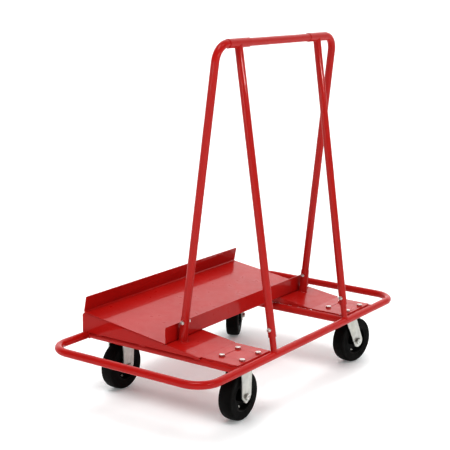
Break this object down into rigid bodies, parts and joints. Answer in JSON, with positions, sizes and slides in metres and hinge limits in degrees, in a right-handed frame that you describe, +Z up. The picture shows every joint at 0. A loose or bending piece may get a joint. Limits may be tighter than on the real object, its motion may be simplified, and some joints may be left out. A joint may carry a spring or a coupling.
{
  "type": "drywall panel cart",
  "caption": "Rolling tube-frame cart for building panels: sloping side tray, leaning back frame, bumper loop, rigid and swivel casters.",
  "frame": {"origin": "on the floor plane, under the centre of the bumper loop", "axes": "+X along the cart from the rigid casters toward the swivel casters, +Y across it toward the tray, +Z up"},
  "size_m": [1.2318, 0.6246, 1.1656],
  "materials": {
    "red_paint": "gloss powder coat",
    "zinc_plate": "zinc plated, satin",
    "zinc_fastener": "zinc plated, bright",
    "rubber": "satin moulded rubber",
    "hub_black": "semi-gloss black"
  },
  "bodies": {
    "frame": {"base_plate_far": "red_paint", "base_plate_near": "red_paint", "bent_leg_far": "red_paint", "bent_leg_near": "red_paint", "bumper_loop": "red_paint", "caster_pad_far": "red_paint", "caster_pad_near": "red_paint", "cross_tube_inner_far": "red_paint", "cross_tube_inner_near": "red_paint", "cross_tube_outer_far": "red_paint", "cross_tube_outer_near": "red_paint", "end_gusset_far": "red_paint", "end_gusset_near": "red_paint", "frame_bolts": "zinc_fastener", "frame_nuts": "zinc_fastener", "frame_washers": "zinc_fastener", "kingpin_c": "zinc_plate", "kingpin_d": "zinc_plate", "leg_socket_far": "red_paint", "leg_socket_near": "red_paint", "mount_bolts": "zinc_fastener", "mount_nuts": "zinc_fastener", "mount_washers": "zinc_fastener", "rigid_axle_bolts": "zinc_fastener", "rigid_axle_nuts": "zinc_fastener", "rigid_axle_sleeves": "zinc_fastener", "rigid_fork_a": "zinc_plate", "rigid_fork_b": "zinc_plate", "rigid_plate_a": "zinc_plate", "rigid_plate_b": "zinc_plate", "strut_far": "red_paint", "strut_near": "red_paint", "strut_stub_far": "red_paint", "strut_stub_near": "red_paint", "swivel_plate_c": "zinc_plate", "swivel_plate_d": "zinc_plate", "tee_sleeve_far": "red_paint", "tee_sleeve_near": "red_paint", "top_rail": "red_paint", "tray": "red_paint", "tray_rib_far": "red_paint", "tray_rib_near": "red_paint"},
    "wheel_a": {"tyre_a": "rubber", "hub_a": "hub_black"},
    "wheel_b": {"tyre_b": "rubber", "hub_b": "hub_black"},
    "swivel_c": {"swivel_fork_c": "zinc_plate", "axle_bolt_c": "zinc_fastener", "axle_nut_c": "zinc_fastener", "axle_sleeve_c": "zinc_fastener"},
    "wheel_c": {"tyre_c": "rubber", "hub_c": "hub_black"},
    "swivel_d": {"swivel_fork_d": "zinc_plate", "axle_bolt_d": "zinc_fastener", "axle_nut_d": "zinc_fastener", "axle_sleeve_d": "zinc_fastener"},
    "wheel_d": {"tyre_d": "rubber", "hub_d": "hub_black"}
  },
  "joints": [
    {"name": "wheel_a_spin", "type": "hinge", "parent": "frame", "child": "wheel_a", "pos_m": [-0.328, -0.234, 0.08], "axis": [0, 1, 0], "continuous": true},
    {"name": "wheel_b_spin", "type": "hinge", "parent": "frame", "child": "wheel_b", "pos_m": [-0.328, 0.234, 0.08], "axis": [0, 1, 0], "continuous": true},
    {"name": "swivel_c_turn", "type": "hinge", "parent": "frame", "child": "swivel_c", "pos_m": [0.328, -0.234, 0.1931], "axis": [0, 0, 1], "continuous": true},
    {"name": "wheel_c_spin", "type": "hinge", "parent": "swivel_c", "child": "wheel_c", "pos_m": [0.38101, -0.2443, 0.08], "axis": [0.1908, 0.9816, 0], "continuous": true},
    {"name": "swivel_d_turn", "type": "hinge", "parent": "frame", "child": "swivel_d", "pos_m": [0.328, 0.234, 0.1931], "axis": [0, 0, 1], "continuous": true},
    {"name": "wheel_d_spin", "type": "hinge", "parent": "swivel_d", "child": "wheel_d", "pos_m": [0.37611, 0.25852, 0.08], "axis": [-0.454, 0.891, 0], "continuous": true}
  ]
}
